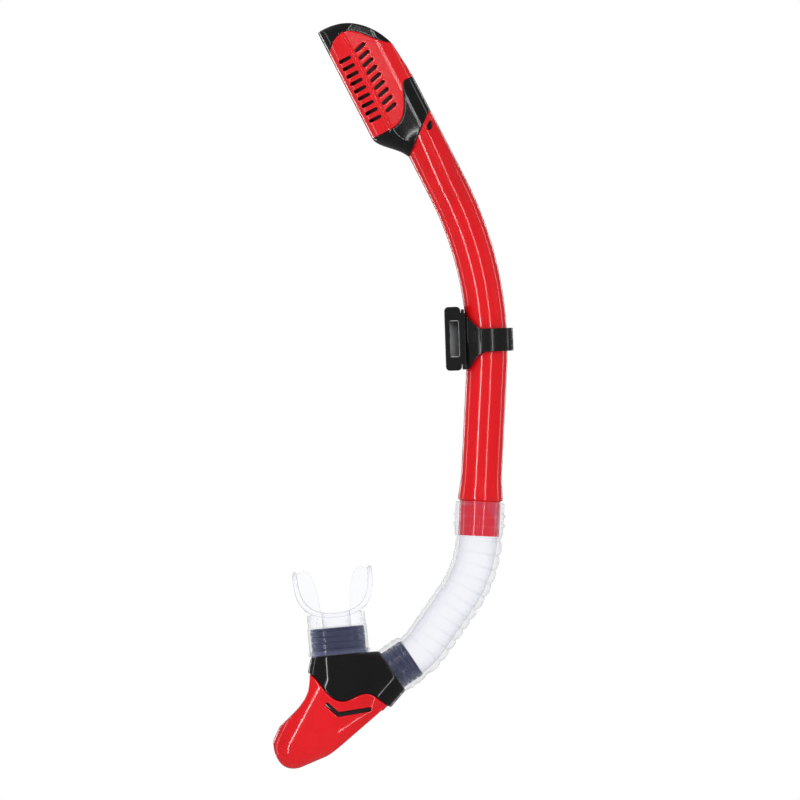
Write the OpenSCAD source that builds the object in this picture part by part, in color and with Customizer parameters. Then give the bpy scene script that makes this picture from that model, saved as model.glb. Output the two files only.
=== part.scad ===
// Dry-top snorkel: bent rigid tube, float-closed dry top, mask-strap clip,
// soft corrugated hose, purge housing with boot, and bite mouthpiece.
// The design frame has the straight tube on X = 0 with its lower end at Z = 0.
// The whole model is then shifted so that the centre of the strap slot is the origin.

/* [Main tube] */
// Outer radius of the tube
tube_r = 12; // [11.5:0.1:12.5]
// Wall thickness of the tube
tube_wall = 1.8; // [1.4:0.1:2]
// Length of the straight lower part
straight_len = 98; // [90:1:110]
// Centre-line radius of the bend
bend_r = 212; // [200:1:230]
// Angle of the bend
bend_deg = 30; // [27:0.5:32]
// Radius of the flare just above the hose cuff
flare_r = 13.3; // [12.6:0.1:14]

/* [Dry top] */
// Radius of the rounded front of the housing
front_r = 17; // [16:0.5:18]
// Distance from the tube axis to the axis of the rounded front
front_offset = 9.4; // [8:0.2:10]
// Wall thickness of the housing shells
top_wall = 1.6; // [1.2:0.1:1.8]
// Number of water slots in each column
slot_count = 9; // [5:1:9]
// Height of one water slot
slot_height = 2; // [1.2:0.1:2.6]
// How far the flap stands open with the float down
flap_open_deg = 65; // [55:1:66]

/* [Strap clip] */
// Where the clip sits along the bend
clip_deg = 4.65; // [4:0.05:6]
// Height of the ring band
ring_height = 13.5; // [10:0.5:15]
// Outer radius of the ring
ring_r = 15.5; // [15:0.1:16]
// Width of the strap slot
slot_w = 5.4; // [4.8:0.1:5.6]
// Height of the strap slot, which takes the mask strap's width
slot_h = 21.5; // [20:0.5:24]

/* [Hose] */
// Outer radius of the hose between its ribs
hose_r = 13.2; // [12.8:0.1:13.6]
// Inner radius of the hose
hose_bore_r = 11; // [10:0.2:11.4]
// Outer radius of both cuffs
cuff_r = 14.6; // [14.2:0.1:15]

/* [Purge housing] */
// Outer radius of the hose socket shoulder
socket_r = 14; // [13.6:0.1:14.4]
// Half width of the mouth spigot's shoulder
mouth_a = 17; // [16.5:0.1:17.5]
// Half depth of the mouth spigot's shoulder
mouth_b = 11.5; // [11:0.1:12]
// Radius of the purge valve opening
purge_r = 10.2; // [9.6:0.1:10.4]

/* [Mouthpiece] */
// Thickness of the lip flange and the bite tabs
soft_wall = 2.4; // [2:0.1:3]
// Half height of the lip flange at its middle
flange_half = 16; // [14:0.5:18]

/* [Hidden] */
$fn = 72;
fit = 0.05;
big = 200;
// Lengthwise lap and radial step where a bend of a tube meets a straight stretch
lap = 0.4;
lap_r = 0.03;

tube_bore = tube_r - tube_wall;
clip_slot_x = -19.04;
clip_slot_z = 1.3;
rail_x = -14.9;
rail_half = 10;
hook_gap = 0.3;
tongue_x = clip_slot_x - slot_w / 2 - 0.3;
tongue_y = 1.9;
tongue_deg = 38;
// Centre of the strap slot in the design frame
origin_x = -bend_r + (bend_r + clip_slot_x) * cos(clip_deg) - clip_slot_z * sin(clip_deg);
origin_z = straight_len + (bend_r + clip_slot_x) * sin(clip_deg) + clip_slot_z * cos(clip_deg);

// Hose route: down from the tube, a bend, a straight, a second bend, then the lower cuff
hose_top_z = -1;
bend1_r = 70;
bend1_deg = 32;
run_len = 31.7;
bend2_r = 33.8;
bend2_deg = 21.13;
cuff_len = 14;
socket_deg = bend1_deg + bend2_deg;

// Places of the lower assembly in the design frame
socket_at = [-47, -82.5];
mouth_at = [-78.53, -74.51];
mouth_deg = 8;
valve_at = [-72.25, -95];
valve_deg = 19.1;
skirt_gap = 2.2;
floor_z = -4;
floor_t = 2;

// Dry-top heights above the end of the bend
collar_low = 26.2;
collar_high = 45.7;
shell_low = 45.5;
shell_right = 67.7;
crease_x = -13.4;
crease_y = 16.5;
front_x = -26.4;
duct_r = 9.6;
duct_bore = 8.2;
seat_z = 76;
pivot_x = -11;
pivot_z = 80;
crank_len = 8;
// How far the splash liner stands inside the housing's outer face
cage_gap = 2.5;

// Point on a cubic Bezier curve
function bez(p, t) =
    pow(1 - t, 3) * p[0] + 3 * t * pow(1 - t, 2) * p[1] + 3 * t * t * (1 - t) * p[2] + pow(t, 3) * p[3];
// Points along a cubic Bezier curve, without its last point
function curve(p, n = 10) = [for (i = [0:n - 1]) bez(p, i / n)];

module place() translate([-origin_x, 0, -origin_z]) children();
module at_bend(deg) translate([-bend_r, 0, straight_len]) rotate([0, -deg, 0])
    translate([bend_r, 0, 0]) children();
module at_top() at_bend(bend_deg) children();
module at_clip() at_bend(clip_deg) children();
module at_socket() translate([socket_at[0], 0, socket_at[1]]) rotate([0, socket_deg, 0]) children();
module at_mouth() translate([mouth_at[0], 0, mouth_at[1]]) rotate([0, -mouth_deg, 0]) children();
module at_valve() translate([valve_at[0], 0, valve_at[1]]) rotate([0, valve_deg, 0]) children();

// Extrudes an outline drawn in the XZ plane evenly to both sides of it
module side_profile(half) rotate([90, 0, 0]) linear_extrude(height = 2 * half, center = true)
    children();
// Arc of a ring-shaped section in the XZ plane, about a centre on the origin
module arc_tube(r, deg, outer, inner) {
    rotate([90, 0, 0]) rotate_extrude(angle = deg) translate([r, 0]) difference() {
        circle(r = outer);
        if (inner > 0) circle(r = inner);
    }
}
module pipe(outer, inner, h) {
    difference() {
        cylinder(r = outer, h = h);
        translate([0, 0, -1]) cylinder(r = inner, h = h + 2);
    }
}
// Flat shape with two round ends
module oval(a, b) {
    square([2 * (a - b), 2 * b], center = true);
    for (s = [-1, 1]) translate([s * (a - b), 0]) circle(r = b);
}

// ---------------------------------------------------------------- tube
module oblique_half(up) {
    slope = atan((collar_high - collar_low) / (2 * tube_r));
    translate([0, 0, (collar_high + collar_low) / 2]) rotate([0, -slope, 0])
        translate([-big / 2, -big / 2, up ? 0 : -big]) cube(big);
}
module snap_lugs(half, length) {
    for (s = [-1, 1]) translate([7.6, s * 9.6, 37.2]) rotate([90, 0, 0]) rotate([0, 0, 39])
        linear_extrude(height = 2 * length, center = true) oval(half[0], half[1]);
}
module main_tube() {
    color("#e0202c") place() difference() {
        union() {
            translate([0, 0, -0.5]) pipe(tube_r, tube_bore, straight_len + 0.5 + lap);
            difference() {
                translate([0, 0, 20.5]) cylinder(r1 = flare_r, r2 = tube_r, h = 14);
                cylinder(r = tube_r - 0.5, h = 60);
            }
            translate([-bend_r, 0, straight_len])
                arc_tube(bend_r, bend_deg, tube_r + lap_r, tube_bore - lap_r);
            at_top() intersection() {
                translate([0, 0, -lap]) pipe(tube_r, tube_bore, 60);
                oblique_half(false);
            }
        }
        at_top() snap_lugs([3, 1.5], 3.6);
    }
}

// ------------------------------------------------------------- dry top
// Housing section, round at the tube and at the front with flat sides between, as a prism
module dry_prism(h, inset = 0) {
    cylinder(r = tube_r - inset, h = h);
    linear_extrude(height = h) polygon([
        [crease_x, crease_y - inset], [1.5, tube_r - inset - 0.1],
        [1.5, inset - tube_r + 0.1], [crease_x, inset - crease_y]]);
    intersection() {
        translate([-front_offset, 0, 0]) cylinder(r = front_r - inset, h = h);
        translate([crease_x - 20, -big / 2, 0]) cube([20.02, big, h]);
    }
}
// Side outline of the grille and the cap
module top_outline() {
    polygon(concat(
        [[front_x - 1, 30], [tube_r + 0.02, 30], [tube_r + 0.02, shell_right]],
        curve([[9.8, 90.2], [5.5, 104], [-5, 113.5], [-15.4, 115.4]]),
        curve([[-15.4, 115.4], [-20, 115.4], [-26.4, 116.5], [-26.5, 110]]),
        [[front_x - 0.1, 100], [front_x - 0.1, 90]]));
}
// Region above the seam between the collar and the grille
module above_seam() {
    polygon(concat(
        [[-60, 140], [-60, shell_low], [crease_x - 2, shell_low]],
        curve([[crease_x, shell_low], [1.6, shell_low], [1.6, shell_right], [6.6, shell_right]]),
        [[6.6, shell_right], [60, shell_right], [60, 140]]));
}
// Region above the seam between the grille and the cap
module above_arch() {
    polygon(concat(
        [[-60, 160], [-60, 97], [-30, 97]],
        curve([[-26.4, 101.2], [-22, 107], [-17.5, 109.2], [-13.4, 109.2]], 6),
        curve([[-13.4, 109.2], [-4.4, 109.2], [1.6, 93.5], [11.5, 90]]),
        [[11.5, 90], [60, 88], [60, 160]]));
}
module housing_solid(inset = 0) {
    intersection() {
        translate([0, 0, 30]) dry_prism(100, inset);
        side_profile(30) if (inset > 0) offset(delta = -inset) top_outline(); else top_outline();
    }
}
module collar_flare(inset = 0) {
    hull() {
        translate([0, 0, 22]) cylinder(r = tube_r - inset, h = 6, $fn = 32);
        translate([0, 0, collar_high - 0.4]) dry_prism(0.4 + inset, inset, $fn = 48);
    }
}
module top_collar() {
    color("#141416") place() at_top() difference() {
        union() {
            intersection() {
                union() {
                    collar_flare();
                    translate([0, 0, collar_high - 0.2]) dry_prism(40);
                }
                oblique_half(true);
                difference() {
                    side_profile(30) translate([-60, 20]) square([120, 60]);
                    side_profile(31) above_seam();
                }
            }
            translate([0, 0, 20]) cylinder(r = tube_bore - fit, h = 30);
            intersection() {
                snap_lugs([2.8, 1.3], 2.4);
                cylinder(r = tube_r, h = 60);
            }
        }
        difference() {
            collar_flare(top_wall);
            translate([0, 0, 36 - big]) translate([-big / 2, -big / 2, 0]) cube(big);
            translate([0, 0, 20]) cylinder(r = duct_r + 1.2, h = 60);
        }
        translate([0, 0, shell_low - 2]) difference() {
            dry_prism(40, top_wall);
            cylinder(r = duct_r, h = 40);
        }
        translate([0, 0, 10]) cylinder(r = duct_bore, h = 60);
        translate([0, 0, 23]) rotate_extrude() translate([tube_bore - fit + 0.05, 0])
            square([2.2, 1.3], center = true);
    }
    color("#141416") place() at_top() {
        translate([0, 0, 48]) pipe(duct_r, duct_bore, seat_z - 48);
        difference() {
            union() {
                translate([0, 0, seat_z - 2]) cylinder(r = 10, h = 2);
                translate([-11, -8, seat_z - 2]) cube([6, 16, 2]);
                for (s = [-1, 1]) translate([-13, s * 6.4 - 1, seat_z - 0.4]) cube([5, 2, 6.4]);
            }
            translate([0, 0, seat_z - 3]) cylinder(r = duct_bore, h = 8);
            translate([pivot_x, 12, pivot_z]) rotate([90, 0, 0]) cylinder(r = 0.8, h = 24);
        }
    }
}
module collar_seal() {
    color("#2a2a2c") place() at_top() translate([0, 0, 23])
        rotate_extrude() translate([tube_bore - 0.52, 0]) circle(r = 0.5, $fn = 24);
}
module valve_seat() {
    color("#d8dde0") place() at_top() translate([0, 0, seat_z]) pipe(9.4, 7.8, 1.9);
}
module flap_pin() {
    color("silver") place() at_top() translate([pivot_x, 7.4, pivot_z]) rotate([90, 0, 0])
        cylinder(r = 0.8, h = 14.8);
}
// The flap group is drawn closed and swung open about the pin
module flap_place() {
    place() at_top() translate([pivot_x, 0, pivot_z]) rotate([0, -flap_open_deg, 0]) children();
}
module flap_arm() {
    color("#2a2a2e") flap_place() difference() {
        union() {
            rotate([90, 0, 0]) cylinder(r = 1.9, h = 10, center = true);
            translate([0, -2, -0.3]) cube([-pivot_x, 4, 1.5]);
            translate([-pivot_x, 0, -0.3]) cylinder(r = 6.5, h = 1.5);
            for (s = [-1, 1]) translate([-crank_len, s * 2.9 - 0.7, -1.2]) cube([crank_len, 1.4, 2.4]);
            translate([-crank_len, 0, 0]) rotate([90, 0, 0]) cylinder(r = 1, h = 7.2, center = true);
        }
        rotate([90, 0, 0]) cylinder(r = 0.8 + fit, h = 12, center = true);
    }
}
module flap_seal() {
    color("#c9d2d6") flap_place() translate([-pivot_x, 0, -1.8]) cylinder(r = 8.9, h = 1.5);
}
// Float with a forked plate on top that carries the crank of the flap
module float() {
    fork_z = pivot_z - crank_len * sin(flap_open_deg);
    color("#222225") place() at_top() difference() {
        union() {
            intersection() {
                translate([0, 0, 48]) dry_prism(20, cage_gap + top_wall + 1.4);
                translate([-30, -13, 40]) cube([18.2, 26, 40]);
                translate([-9, 0, 40]) cylinder(r = 15.8, h = 40);
            }
            translate([-22.5, -1.2, 67]) cube([8.4, 2.4, fork_z + 4 - 67]);
        }
        translate([-20.6, -3, fork_z - 1.95]) cube([12, 6, 3.9]);
        cylinder(r = duct_r + 1.9, h = 80);
        translate([-18, 0, 50]) cylinder(r = 3, h = 16);
    }
}
// Splash liner behind the slots: water passes round its two ends
module float_cage() {
    color("#1c1c1e") place() at_top() difference() {
        translate([0, 0, collar_high - 0.2]) dry_prism(54, cage_gap + 0.1);
        translate([0, 0, collar_high - 1]) dry_prism(56, cage_gap + 1.1);
        translate([-4.6, -big / 2, 0]) cube(big);
        translate([-40, -8, collar_high + 1]) cube([20, 16, 5]);
    }
}
module water_slots() {
    for (i = [0:slot_count - 1]) {
        translate([-23.4, -30, 55.2 + i * 4.875 - slot_height / 2]) cube([8, 60, slot_height]);
        translate([-8.15, 0, 56.9 + i * 4.975]) rotate([0, -15, 0])
            cube([7.8, 60, slot_height], center = true);
    }
}
module grille_cover() {
    color("#e0202c") place() at_top() difference() {
        intersection() {
            housing_solid();
            side_profile(30) difference() {
                above_seam();
                above_arch();
            }
        }
        housing_solid(top_wall);
        water_slots();
    }
}
module top_cap() {
    color("#141416") place() at_top() difference() {
        intersection() {
            housing_solid();
            side_profile(30) above_arch();
        }
        housing_solid(top_wall);
    }
}

// ---------------------------------------------------------- strap clip
// Side outline of the ring, whose band grows into the rail block
module ring_outline() {
    h = ring_height / 2;
    polygon(concat(
        [[16, -h], [16, h]],
        curve([[-2.4, h], [-6, h], [-9, 12], [-13, 15.5]], 8),
        [[-13, 15.5], [-13, 18.5], [rail_x, 18.5], [rail_x, -17], [-12, -17]],
        curve([[-11.5, -17], [-8.5, -13], [-5, -h], [1, -h]], 8)));
}
module clip_ring() {
    color("#141416") place() at_clip() difference() {
        intersection() {
            union() {
                cylinder(r = ring_r, h = 50, center = true);
                translate([rail_x, -rail_half, -25]) cube([8, 2 * rail_half, 50]);
            }
            side_profile(20) ring_outline();
        }
        translate([-bend_r, 0, 0]) rotate([0, 8, 0]) arc_tube(bend_r, 16, tube_r + 0.3, 0);
        for (s = [-1, 1]) translate([rail_x + 1, s * (rail_half - 0.2) - 1, -30]) cube([1.7, 2, 60]);
    }
}
// Loop that the mask strap runs through, with two hooks that ride in the ring's side grooves
module strap_frame() {
    left = clip_slot_x - slot_w / 2 - 2.9;
    right = rail_x - hook_gap;
    half_depth = rail_half + hook_gap + 1.2;
    color("#18181a") place() at_clip() {
        difference() {
            translate([(left + right) / 2, 0, clip_slot_z]) rotate([90, 0, 0])
                linear_extrude(height = 2 * half_depth, center = true)
                    oval_frame((right - left) / 2, 18.8);
            translate([clip_slot_x - slot_w / 2, -15, clip_slot_z - slot_h / 2])
                cube([slot_w, 30, slot_h]);
            translate([tongue_x - 1.4, tongue_y - 1.5, clip_slot_z - slot_h / 2])
                cube([2.8, 16, slot_h]);
            translate([tongue_x, tongue_y, clip_slot_z - 13]) cylinder(r = 0.6, h = 26);
        }
        for (s = [-1, 1]) translate([0, 0, clip_slot_z - 15]) {
            translate([right - 0.8, s * (half_depth - 0.6) - 0.6, 0]) cube([3.5, 1.2, 30]);
            translate([rail_x + 1.3, s * (rail_half - 0.2) - 0.7, 0]) cube([1.1, 1.4, 30]);
        }
    }
}
module oval_frame(half_w, half_h) {
    r = 2.4;
    square([2 * half_w, 2 * (half_h - r)], center = true);
    square([2 * (half_w - r), 2 * half_h], center = true);
    for (sx = [-1, 1]) for (sz = [-1, 1]) translate([sx * (half_w - r), sz * (half_h - r)])
        circle(r = r);
}
module tongue_pin() {
    color("silver") place() at_clip()
        translate([tongue_x, tongue_y, clip_slot_z - 12.6]) cylinder(r = 0.6, h = 25.2);
}
// Leaf that closes the rear of the strap slot and folds flat against its outer wall
module strap_tongue() {
    h = slot_h - 0.6;
    color("#9a9da1") place() at_clip() translate([tongue_x, tongue_y, clip_slot_z]) difference() {
        union() {
            cylinder(r = 1.1, h = h, center = true);
            rotate([0, 0, -tongue_deg]) translate([-0.5, 0, -h / 2]) cube([1, 7.8, h]);
        }
        cylinder(r = 0.6 + fit, h = 40, center = true);
    }
}

// ---------------------------------------------------------------- hose
// Moves to the end of each stretch of the hose in turn
module after_bend1() translate([-bend1_r, 0, hose_top_z]) rotate([0, bend1_deg, 0])
    translate([bend1_r, 0, 0]) children();
module after_run() after_bend1() translate([0, 0, -run_len]) children();
module after_bend2() after_run() translate([-bend2_r, 0, 0]) rotate([0, bend2_deg, 0])
    translate([bend2_r, 0, 0]) children();
// One bend of the hose, hanging down and to the left from the local origin
module hose_bend(r, deg) {
    translate([-r, 0, 0]) rotate([0, deg, 0]) arc_tube(r, deg, hose_r + lap_r, hose_bore_r - lap_r);
}
module flex_hose() {
    color("#e8eef0", 0.6) place() {
        difference() {
            translate([0, 0, hose_top_z - lap]) cylinder(r = cuff_r, h = 20.5 + lap);
            translate([0, 0, -0.6]) cylinder(r = tube_r + fit, h = 30);
            translate([0, 0, hose_top_z - 1]) cylinder(r = hose_bore_r, h = 5);
        }
        translate([0, 0, hose_top_z]) hose_bend(bend1_r, bend1_deg);
        after_run() translate([0, 0, -lap]) pipe(hose_r, hose_bore_r, run_len + 2 * lap);
        after_run() hose_bend(bend2_r, bend2_deg);
        after_bend2() translate([0, 0, -cuff_len]) difference() {
            translate([0, 0, 0.3]) cylinder(r = cuff_r, h = cuff_len + lap - 0.3);
            translate([0, 0, -1]) cylinder(r = tube_r + fit, h = cuff_len + 0.7);
            translate([0, 0, -1]) cylinder(r = hose_bore_r, h = cuff_len + 3);
        }
    }
}

// ------------------------------------------------------- purge housing
module core(inset = 0) {
    hull() {
        at_mouth() translate([0, 0, -3]) linear_extrude(height = 3)
            oval(mouth_a - inset, mouth_b - inset, $fn = 32);
        at_socket() translate([0, 0, -3]) cylinder(r = socket_r - inset, h = 3, $fn = 40);
        at_valve() translate([0, 0, -8]) linear_extrude(height = 10)
            oval(24.4 - inset, 14.5 - inset, $fn = 40);
    }
}
// Region above the seam between the black housing and the boot
module above_boot() {
    polygon(concat(
        [[-140, 0], [-140, -86]],
        curve([[-97, -86], [-90, -88], [-85, -101.8], [-76, -101.8]], 8),
        curve([[-76, -101.8], [-70, -101.8], [-67, -96.5], [-61, -96.5]], 6),
        curve([[-61, -96.5], [-56.5, -96.5], [-53, -101], [-47, -104]], 6),
        [[-47, -104], [0, -120], [0, 0]]));
}
module above_floor(z) at_valve() translate([-big / 2, -big / 2, z]) cube(big);
module purge_housing() {
    color("#141416") place() difference() {
        union() {
            intersection() {
                core();
                side_profile(30) above_boot();
            }
            intersection() {
                core(skirt_gap);
                above_floor(floor_z);
            }
            at_mouth() translate([0, 0, -4]) linear_extrude(height = 20) oval(mouth_a - 1, mouth_b - 1);
            at_socket() translate([0, 0, -4]) cylinder(r = tube_r, h = 3.4 + cuff_len);
        }
        intersection() {
            core(skirt_gap + 1.6);
            above_floor(floor_z + floor_t);
        }
        at_mouth() translate([0, 0, -8]) linear_extrude(height = 30) oval(mouth_a - 2.8, mouth_b - 2.8);
        at_socket() translate([0, 0, -14]) cylinder(r = 9.8, h = 60);
        at_valve() translate([0, 0, -20]) cylinder(r = purge_r, h = 30);
        at_valve() translate([0, 0, -20]) cylinder(r = 11.6, h = 20 + floor_z);
    }
}
module purge_valve_seat() {
    color("#d8dde0") place() at_valve() translate([0, 0, floor_z]) {
        pipe(purge_r - fit, 8.4, 2);
        translate([0, 0, -1]) pipe(11.2, 8.4, 1);
        pipe(2.4, 1 + fit, 2);
        for (a = [45:90:315]) rotate([0, 0, a]) translate([2, -0.8, 0]) cube([6.8, 1.6, 2]);
    }
}
module purge_diaphragm() {
    color("#eef2f3") place() at_valve() translate([0, 0, floor_z]) {
        translate([0, 0, -2.1]) cylinder(r = 10.6, h = 0.8);
        translate([0, 0, -1.4]) cylinder(r = 1, h = 5);
        translate([0, 0, 3.3]) cylinder(r1 = 1.8, r2 = 0.8, h = 1.6);
    }
}
module boot_outline() {
    polygon(concat(
        [[-95.5, -70]],
        curve([[-95.5, -92], [-95.5, -104], [-105, -111], [-113.5, -120.5]], 8),
        curve([[-113.5, -120.5], [-118, -126], [-113.5, -143.5], [-103, -143.2]], 8),
        curve([[-103, -143.2], [-95, -142.8], [-84, -137], [-75, -128]], 6),
        [[-75, -128], [-47, -101.2], [-47, -70]]));
}
module boot_round(inset = 0) {
    hull() {
        at_valve() translate([0, 0, -6]) linear_extrude(height = 14)
            oval(24.4 + 3 - inset, 14.5 - inset, $fn = 40);
        translate([-103, 0, -130.5]) sphere(r = 12.6 - inset, $fn = 32);
        translate([-80, 0, -116]) sphere(r = 15.6 - inset, $fn = 32);
    }
}
module purge_boot() {
    color("#e0202c") place() difference() {
        intersection() {
            side_profile(30) difference() {
                boot_outline();
                above_boot();
            }
            boot_round();
        }
        intersection() {
            side_profile(30) offset(delta = -skirt_gap + 0.1) boot_outline();
            boot_round(skirt_gap - 0.1);
        }
        core(skirt_gap - 0.1);
        side_profile(30) polygon([
            [-86, -101.3], [-77.3, -108.1], [-58.6, -104.2], [-58, -106.6], [-77.5, -110.9],
                [-87.5, -103.2]]);
    }
}

// ---------------------------------------------------------- mouthpiece
module mouthpiece() {
    color("#e4eaec", 0.7) place() at_mouth() {
        difference() {
            union() {
                translate([0, 0, 0.3]) linear_extrude(height = 16.5) oval(mouth_a + 0.6, mouth_b + 0.6);
                translate([0, 0, 16]) linear_extrude(height = 8.5) oval(mouth_a + 0.2, mouth_b - 1);
                intersection() {
                    side_profile(flange_half) flange_band();
                    union() {
                        translate([0, 0, 35]) rotate([0, 90, 0])
                            cylinder(r = flange_half, h = 80, center = true);
                        translate([-40, -12, 15]) cube([80, 24, 20]);
                    }
                }
                side_profile(1.8) bite_tab();
                mirror([1, 0, 0]) side_profile(1.8) bite_tab();
            }
            translate([0, 0, -1]) linear_extrude(height = 17.3)
                oval(mouth_a - 1 + fit, mouth_b - 1 + fit);
            translate([0, 0, 10]) linear_extrude(height = 40) oval(8.5, 5.6);
            translate([0, 0, 0.2]) linear_extrude(height = 2.5) difference() {
                oval(mouth_a + 3, mouth_b + 3);
                oval(mouth_a + 0.1, mouth_b + 0.1);
            }
        }
    }
}
function reversed(p) = [for (i = [len(p) - 1:-1:0]) p[i]];
function mirrored(p) = [for (q = reversed(p)) [-q[0], q[1]]];
// Plan shape of the lip flange: a U-shaped band
module flange_band() {
    back = 22.3;
    front = back + soft_wall;
    outer = curve([[-23.5, 50], [-24.5, 30], [-18, back], [0, back]]);
    inner = curve([[-21, 50], [-21.5, 31], [-15, front], [0, front]]);
    polygon(concat(outer, [[0, back]], mirrored(outer), [[22.2, 51.3]],
        reversed(mirrored(inner)), [[0, front]], reversed(inner), [[-22.2, 51.3]]));
}
// Plan shape of one bite tab, inside the left arm of the flange
module bite_tab() {
    polygon(concat(
        [[-8.5, 24]],
        curve([[-9.2, 33], [-10.5, 44], [-12, 50], [-17, 51]], 8),
        [[-17, 51], [-22, 49], [-22.5, 36], [-18, 27]]));
}
module mouthpiece_band() {
    color("#f5f7f7", 0.8) place() at_mouth() translate([0, 0, 0.3]) linear_extrude(height = 2.4)
        difference() {
        oval(mouth_a + 1.2, mouth_b + 1.2);
        oval(mouth_a + 0.12, mouth_b + 0.12);
    }
}

main_tube();
top_collar();
collar_seal();
valve_seat();
flap_pin();
flap_arm();
flap_seal();
float();
float_cage();
grille_cover();
top_cap();
clip_ring();
strap_frame();
tongue_pin();
strap_tongue();
flex_hose();
purge_housing();
purge_valve_seat();
purge_diaphragm();
purge_boot();
mouthpiece();
mouthpiece_band();
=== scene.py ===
import math

import bpy
from mathutils import Matrix, Vector


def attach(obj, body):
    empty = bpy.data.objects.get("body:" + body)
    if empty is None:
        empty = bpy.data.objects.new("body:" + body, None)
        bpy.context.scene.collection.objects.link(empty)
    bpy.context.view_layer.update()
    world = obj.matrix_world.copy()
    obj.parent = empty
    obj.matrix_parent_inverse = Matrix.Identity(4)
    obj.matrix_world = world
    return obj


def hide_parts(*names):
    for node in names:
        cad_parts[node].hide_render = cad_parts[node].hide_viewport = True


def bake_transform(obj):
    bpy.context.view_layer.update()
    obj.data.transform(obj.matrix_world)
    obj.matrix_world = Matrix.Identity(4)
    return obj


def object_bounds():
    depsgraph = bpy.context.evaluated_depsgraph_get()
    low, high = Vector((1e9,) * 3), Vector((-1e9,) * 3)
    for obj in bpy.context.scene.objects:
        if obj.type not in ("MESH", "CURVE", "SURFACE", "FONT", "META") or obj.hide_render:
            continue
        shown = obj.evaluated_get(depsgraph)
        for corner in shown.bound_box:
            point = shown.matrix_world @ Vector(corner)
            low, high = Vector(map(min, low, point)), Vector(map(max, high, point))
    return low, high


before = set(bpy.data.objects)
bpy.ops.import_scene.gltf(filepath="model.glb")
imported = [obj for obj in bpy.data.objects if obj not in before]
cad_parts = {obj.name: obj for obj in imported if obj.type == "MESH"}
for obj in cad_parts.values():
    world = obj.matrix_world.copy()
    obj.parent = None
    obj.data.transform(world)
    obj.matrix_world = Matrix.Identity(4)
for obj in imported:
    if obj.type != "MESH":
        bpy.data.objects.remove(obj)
CAD_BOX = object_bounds()

bl_info = {
    "name": "Dry-top snorkel",
    "version": (1, 0, 0),
    "blender": (4, 5, 0),
    "location": "3D View > Sidebar > Snorkel",
    "description": "Builds the finished looks of a dry-top snorkel round its packed frame",
    "category": "Object",
}

# Lengths below are in millimetres, with the straight tube on X = 0 and its lower end at Z = 0.
MM = 0.001
SHIFT = Vector((19.7805, 0.0, -114.9387))


def shift(x, y, z):
    return Matrix.Translation((x, y, z))


def tilt(degrees):
    return Matrix.Rotation(math.radians(degrees), 4, "Y")


HERE = Matrix.Identity(4)
# Turns a form that stands along Z so that it lies across the bend's plane
ACROSS = Matrix.Rotation(math.radians(90), 4, "X")
BEND = 212.0
STRAIGHT = 98.0


def along_bend(degrees):
    return shift(-BEND, 0, STRAIGHT) @ tilt(-degrees) @ shift(BEND, 0, 0)


TOP = along_bend(30)
CLIP = along_bend(4.65)
SOCKET = shift(-47, 0, -82.5) @ tilt(53.13)
MOUTH = shift(-78.53, 0, -74.51) @ tilt(-8)
VALVE = shift(-72.25, 0, -95) @ tilt(19.1)


def spot(at, x, y, z):
    """A point of the design frame, in metres in the row frame."""
    return (at @ Vector((x, y, z)) + SHIFT) * MM


# ------------------------------------------------------------------ modelling
def only(*objs):
    for o in bpy.context.selected_objects:
        o.select_set(False)
    for o in objs:
        o.select_set(True)
    bpy.context.view_layer.objects.active = objs[0]


def settle(o, at):
    bpy.context.view_layer.update()
    o.matrix_world = at @ o.matrix_world
    only(o)
    bpy.ops.object.transform_apply(location=True, rotation=True, scale=True)
    return o


def edit(o, pick=None, kind="VERT"):
    """Opens the piece in edit mode with the picked vertices, edges or faces selected."""
    only(o)
    bpy.ops.object.mode_set(mode="EDIT")
    bpy.ops.mesh.select_mode(type=kind)
    bpy.ops.mesh.select_all(action="SELECT" if pick is None else "DESELECT")
    if pick is not None:
        bpy.ops.object.mode_set(mode="OBJECT")
        parts = {"VERT": o.data.vertices, "EDGE": o.data.edges, "FACE": o.data.polygons}[kind]
        for p in parts:
            p.select = bool(pick(p))
        bpy.ops.object.mode_set(mode="EDIT")


def close(o):
    bpy.ops.object.mode_set(mode="OBJECT")
    return o


def tidy(o, gap=0.001):
    edit(o)
    bpy.ops.mesh.remove_doubles(threshold=gap)
    bpy.ops.mesh.select_all(action="SELECT")
    bpy.ops.mesh.normals_make_consistent(inside=False)
    return close(o)


def drum(r, z0, z1, at=HERE, sides=96, top=None):
    bpy.ops.object.select_all(action="DESELECT")
    bpy.ops.mesh.primitive_cone_add(vertices=sides, radius1=r, radius2=r if top is None else top,
                                    depth=z1 - z0, location=(0, 0, (z0 + z1) / 2))
    return settle(bpy.context.active_object, at)


def stretch(o, by):
    """Moves the two halves of a round form apart along X."""
    for side in (-1, 1):
        edit(o, lambda v, side=side: v.co.x * side > 0.0005)
        bpy.ops.transform.translate(value=(side * by, 0, 0))
        close(o)
    return o


def oval(a, b, z0, z1, at=HERE, sides=96):
    """A drum drawn out along X to half lengths a and b."""
    return settle(stretch(drum(b, z0, z1, HERE, sides), a - b), at)


def block(lo, hi, at=HERE):
    bpy.ops.object.select_all(action="DESELECT")
    bpy.ops.mesh.primitive_cube_add(size=1, location=[(p + q) / 2 for p, q in zip(lo, hi)])
    o = bpy.context.active_object
    o.scale = [q - p for p, q in zip(lo, hi)]
    return settle(o, at)


def ball(r, x, y, z):
    bpy.ops.object.select_all(action="DESELECT")
    bpy.ops.mesh.primitive_uv_sphere_add(segments=64, ring_count=32, radius=r, location=(x, y, z))
    return settle(bpy.context.active_object, HERE)


def drawn(points, y=0.0):
    """A flat face with its corners at points (x, z)."""
    bpy.ops.object.select_all(action="DESELECT")
    bpy.ops.mesh.primitive_circle_add(vertices=len(points), radius=1, fill_type="NGON")
    o = bpy.context.active_object
    for v, (x, z) in zip(o.data.vertices, points):
        v.co = (x, y, z)
    return o


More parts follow.
